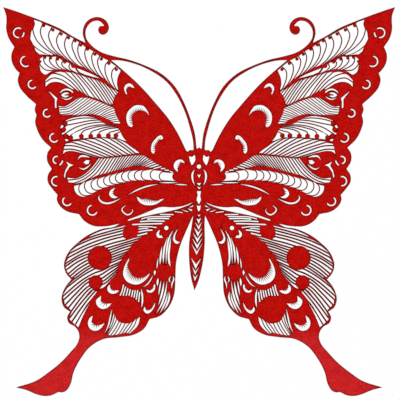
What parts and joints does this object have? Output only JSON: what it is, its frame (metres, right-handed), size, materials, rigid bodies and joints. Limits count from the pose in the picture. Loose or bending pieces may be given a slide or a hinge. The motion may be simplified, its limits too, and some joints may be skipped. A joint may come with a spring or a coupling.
{
  "type": "window paper cutting",
  "caption": "Thin red sheet of paper cut into a butterfly with openwork wings, a decoration to be stuck flat on a window.",
  "frame": {"origin": "middle of the sheet's box, on the back face that lies against the glass", "axes": "+Z out of the front face, +Y towards the butterfly's head, +X towards the wing on the right"},
  "size_m": [0.196, 0.1942, 0.0001],
  "materials": {
    "red_paper": "matt"
  },
  "bodies": {
    "root": {"paper_cutting": "red_paper"}
  },
  "joints": []
}
